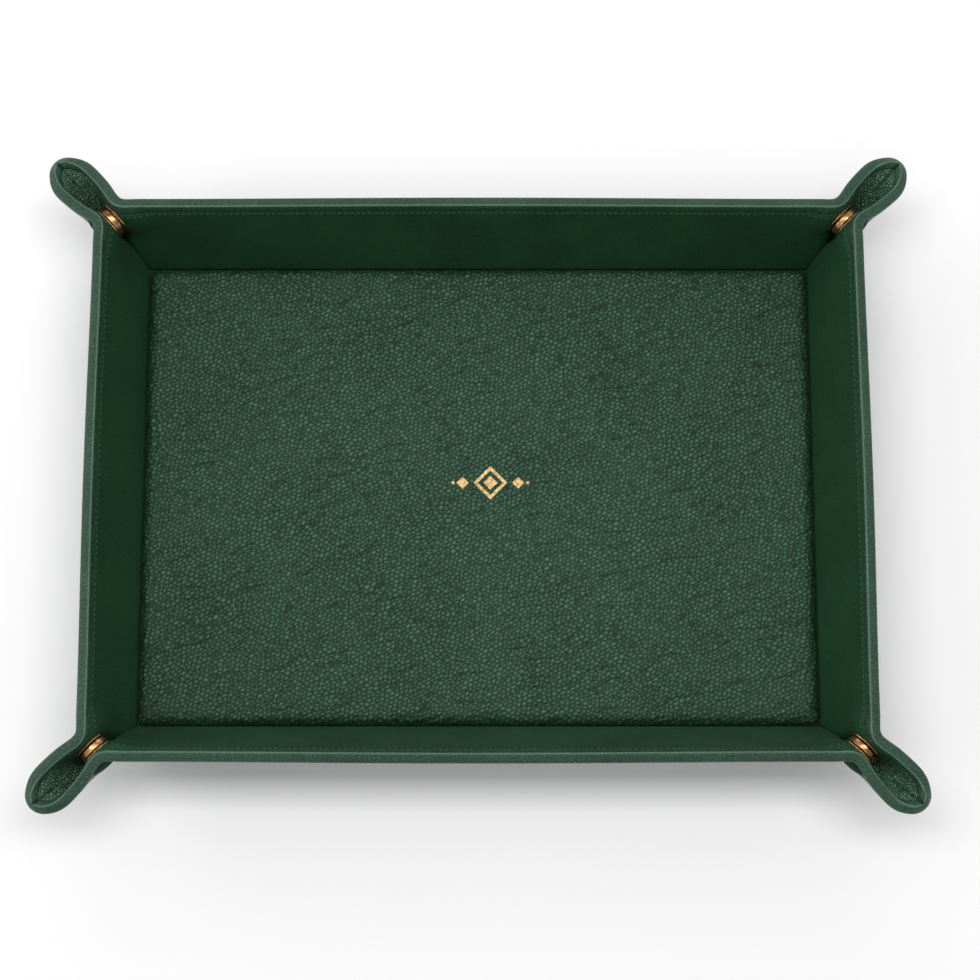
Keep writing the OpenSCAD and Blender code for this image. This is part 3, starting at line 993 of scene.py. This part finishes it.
def rounded_outline(x, y):
    """The grid with its four corners pulled in to the pad's corner radius."""
    ex = np.maximum(np.abs(x) - (PAD_X - CORNER_R), 0)
    ey = np.maximum(np.abs(y) - (PAD_Y - CORNER_R), 0)
    reach = np.hypot(ex, ey)
    pull = np.where((reach > CORNER_R) & (ex > 0) & (ey > 0), CORNER_R / np.maximum(reach, 1e-6), 1)
    x = np.where(pull < 1, np.sign(x) * (PAD_X - CORNER_R + ex * pull), x)
    y = np.where(pull < 1, np.sign(y) * (PAD_Y - CORNER_R + ey * pull), y)
    return x, y


def floor_leather():
    """The pebbled floor leather over its foam, as one closed solid."""
    x, y = np.meshgrid(grid_line(PAD_X), grid_line(PAD_Y), indexing="ij")
    z, light = pad_height(x, y)
    nx, ny = x.shape
    x, y = rounded_outline(x, y)
    verts = np.stack([x, y, z], -1).reshape(-1, 3)
    faces = [(i * ny + j, (i + 1) * ny + j, (i + 1) * ny + j + 1, i * ny + j + 1)
             for i in range(nx - 1) for j in range(ny - 1)]
    rim = ([i * ny for i in range(nx)] + [(nx - 1) * ny + j for j in range(1, ny)]
           + [i * ny + ny - 1 for i in range(nx - 2, -1, -1)] + list(range(ny - 2, 0, -1)))
    foot = verts[rim].copy()
    foot[:, 2] = PAD_FOOT
    start = len(verts)
    size = len(rim)
    verts = np.vstack([verts, foot])
    for k in range(size):
        j = (k + 1) % size
        faces.append((rim[j], rim[k], start + k, start + j))
    faces.append(tuple(start + k for k in reversed(range(size))))
    obj = link_mesh("floor_padded_leather", verts, faces, FLOOR)
    # The mark pebble carries the floor's painted light and shade: lighter tops, and shade in
    # valleys, creases, folds and near the edge.
    mark(obj, "pebble", np.concatenate([light.ravel(), np.zeros(size)]))
    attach(obj, "base")
    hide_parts("floor_leather", "floor_pad")


def foil_patch(x, y, closed):
    """A thin solid lying on the pebbled floor over a grid of points, which may be a closed ring."""
    z, _ = pad_height(x, y)
    top = np.stack([x, y, z + FOIL_LIFT], -1)
    nu, nv = x.shape
    count = nu * nv
    under = top - np.array([0, 0, FOIL_THICK])
    verts = np.vstack([top.reshape(-1, 3), under.reshape(-1, 3)])
    faces = []
    ends = nu if closed else nu - 1
    for i in range(ends):
        k = (i + 1) % nu
        for j in range(nv - 1):
            quad = (i * nv + j, k * nv + j, k * nv + j + 1, i * nv + j + 1)
            faces.append(quad)
            faces.append(tuple(count + v for v in reversed(quad)))
        faces.append((k * nv, i * nv, count + i * nv, count + k * nv))
        a = i * nv + nv - 1
        b = k * nv + nv - 1
        faces.append((a, b, count + b, count + a))
    if not closed:
        for j in range(nv - 1):
            faces.append((j, j + 1, count + j + 1, count + j))
            a = (nu - 1) * nv + j
            faces.append((a + 1, a, count + a, count + a + 1))
    return verts, outward(verts, faces)


def foil_ornament():
    """A plain lozenge ornament in gold foil, stamped into the floor."""
    parts = []
    for cx, w in LOZENGES:
        half = w * FOIL_H / 2
        across = np.linspace(-1, 1, max(6, int(half * 2 / FOIL_STEP)))
        p, q = np.meshgrid(across, across, indexing="ij")
        x = FOIL_C[0] + cx * FOIL_H + half * (p + q) / 2
        y = FOIL_C[1] + half * (q - p) / 2
        parts.append(foil_patch(x, y, False))
    turn = np.linspace(0, 4, 161)[:-1]
    side = turn % 1
    quarter = np.floor(turn).astype(int)
    tips = np.array([(1, 0), (0, 1), (-1, 0), (0, -1)])
    edge = tips[quarter] * (1 - side)[:, None] + tips[(quarter + 1) % 4] * side[:, None]
    scale = np.linspace(FRAME_HOLE, FRAME_EDGE, 9) * FOIL_H
    x = FOIL_C[0] + edge[:, :1] * scale
    y = FOIL_C[1] + edge[:, 1:] * scale
    parts.append(foil_patch(x, y, True))
    obj = link_mesh("floor_foil_ornament", *merged(parts), FOIL)
    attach(obj, "base")
    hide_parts("floor_ornament")


# ---- snaps ----

def rolled(radius, low, high, edge=0.16, steps=5):
    """Profile points of a disc's rounded rim, from its low face to its high one."""
    r = min(edge, (high - low) / 2)
    a = np.linspace(-math.pi / 2, 0, steps)
    lower = [(radius - r + r * math.cos(v), low + r + r * math.sin(v)) for v in a]
    upper = [(radius - r + r * math.cos(v), high - r + r * math.sin(v)) for v in a + math.pi / 2]
    return lower + upper


SNAP_IN = SNAP_N - HALF    # the leather's inner and outer faces, from the diagonal
SNAP_OUT = SNAP_N + HALF
SEAT = SNAP_IN - 0.02      # where a flange rests on the lining
FLANGE = rolled(5.3, SEAT - 0.4, SEAT, 0.2)
SOCKET = ([(0, 0.6), (2.0, 0.6), (2.15, 0.45), (2.15, -0.7), (2.3, -0.92), (2.7, -1.0)]
          + rolled(4.55, -1.02, 0.82, 0.36) + [(3.5, 0.9), (3.4, 1.15)]
          + FLANGE + [(0, SEAT)])
STUD = ([(0, SEAT)] + FLANGE[::-1]
        + [(3.0, 1.2), (2.0, 1.12), (1.45, 1.0), (1.3, 0.8), (1.6, 0.6), (1.62, 0.45),
           (1.35, 0.3), (0, 0.25)])


def cap_profile():
    """The domed outer cap over its rivet, with a small rolled foot."""
    foot = SNAP_OUT + 0.02
    dome = [(5.0 * math.sin(a), foot + 0.22 + 0.9 * math.cos(a))
            for a in np.radians(np.arange(0, 86, 7))]
    return ([(0, foot + 1.12)] + dome[1:] + [(5.1, foot + 0.26), (5.32, foot + 0.24),
            (5.42, foot + 0.12), (5.36, foot - 0.04), (5.0, foot - 0.12), (0, foot - 0.12)])


def build_snaps():
    """Cap, socket, stud and post at each corner."""
    pieces = (("cap", "long", cap_profile(), CAPS, "painted_caps"),
              ("socket", "long", SOCKET, BRASS, "brass"),
              ("stud", "short", STUD, BRASS, "brass"),
              ("post", "short", cap_profile(), CAPS, "painted_caps"))
    for corner in CORNERS:
        for kind, half, profile, material, slot in pieces:
            verts, faces = spun(profile)
            placed = to_tray(corner, half, verts + np.array([SNAP_D, 0, SNAP_Z]))
            name = f"snap_{corner}_{kind}_metal"
            obj = link_mesh(name, placed, outward(placed, faces), material)
            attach(obj, f"ear_{corner}_{half}_side")
            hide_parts(f"snap_{corner}_{kind}")


# ---- stage ----

CAMERA_TILT = math.radians(11.6)
CAMERA_FAR = 0.678         # metres from the middle of the tray's foot
CAMERA_LENS = 84.0
CAMERA_SHIFT = (0.0121, 0.0049)
TABLE_HALF = 3000.0


def build_stage():
    """The table and the photograph's camera."""
    corners = [(-1, -1, 0), (1, -1, 0), (1, 1, 0), (-1, 1, 0)]
    table = link_mesh("table", np.array(corners) * TABLE_HALF, [(0, 1, 2, 3)], table_top())
    data = bpy.data.cameras.new("camera")
    data.lens = CAMERA_LENS
    data.sensor_width = 36.0
    data.shift_x, data.shift_y = CAMERA_SHIFT
    camera = bpy.data.objects.new("camera", data)
    camera.location = (0, -CAMERA_FAR * math.sin(CAMERA_TILT), CAMERA_FAR * math.cos(CAMERA_TILT))
    camera.rotation_euler = (CAMERA_TILT, 0, 0)
    bpy.context.scene.collection.objects.link(camera)
    bpy.context.scene.camera = camera


def add_light(name, place, size, power):
    """A rectangular softbox, in metres and watts, aimed at the tray."""
    data = bpy.data.lights.new(name, "AREA")
    data.shape = "RECTANGLE"
    data.size, data.size_y = size
    data.energy = power
    light = bpy.data.objects.new(name, data)
    light.location = place
    light.rotation_euler = (-Vector(place)).to_track_quat("-Z", "Y").to_euler()
    bpy.context.scene.collection.objects.link(light)


def build_lights():
    """White surroundings and five softboxes, as in a product photograph."""
    world = bpy.data.worlds.new("studio")
    world.use_nodes = True
    background = world.node_tree.nodes["Background"]
    background.inputs["Color"].default_value = (1, 1, 1, 1)
    background.inputs["Strength"].default_value = 0.43
    bpy.context.scene.world = world
    bpy.context.scene.view_settings.view_transform = "Standard"
    add_light("back_softbox", (0.0, 0.16, 1.2), (1.5, 0.4), 8.7)
    add_light("low_back_softbox", (0.0, 1.0, 0.5), (1.2, 0.4), 2.2)
    add_light("front_fill", (0.0, -0.55, 1.1), (1.2, 0.4), 1.5)
    add_light("left_softbox", (-0.95, 0.1, 0.38), (0.9, 0.3), 3.0)
    add_light("right_softbox", (0.95, 0.1, 0.38), (0.9, 0.3), 0.9)


build_stage()
build_lights()
base_skin()
build_walls()
build_corners()
floor_leather()
foil_ornament()
build_snaps()
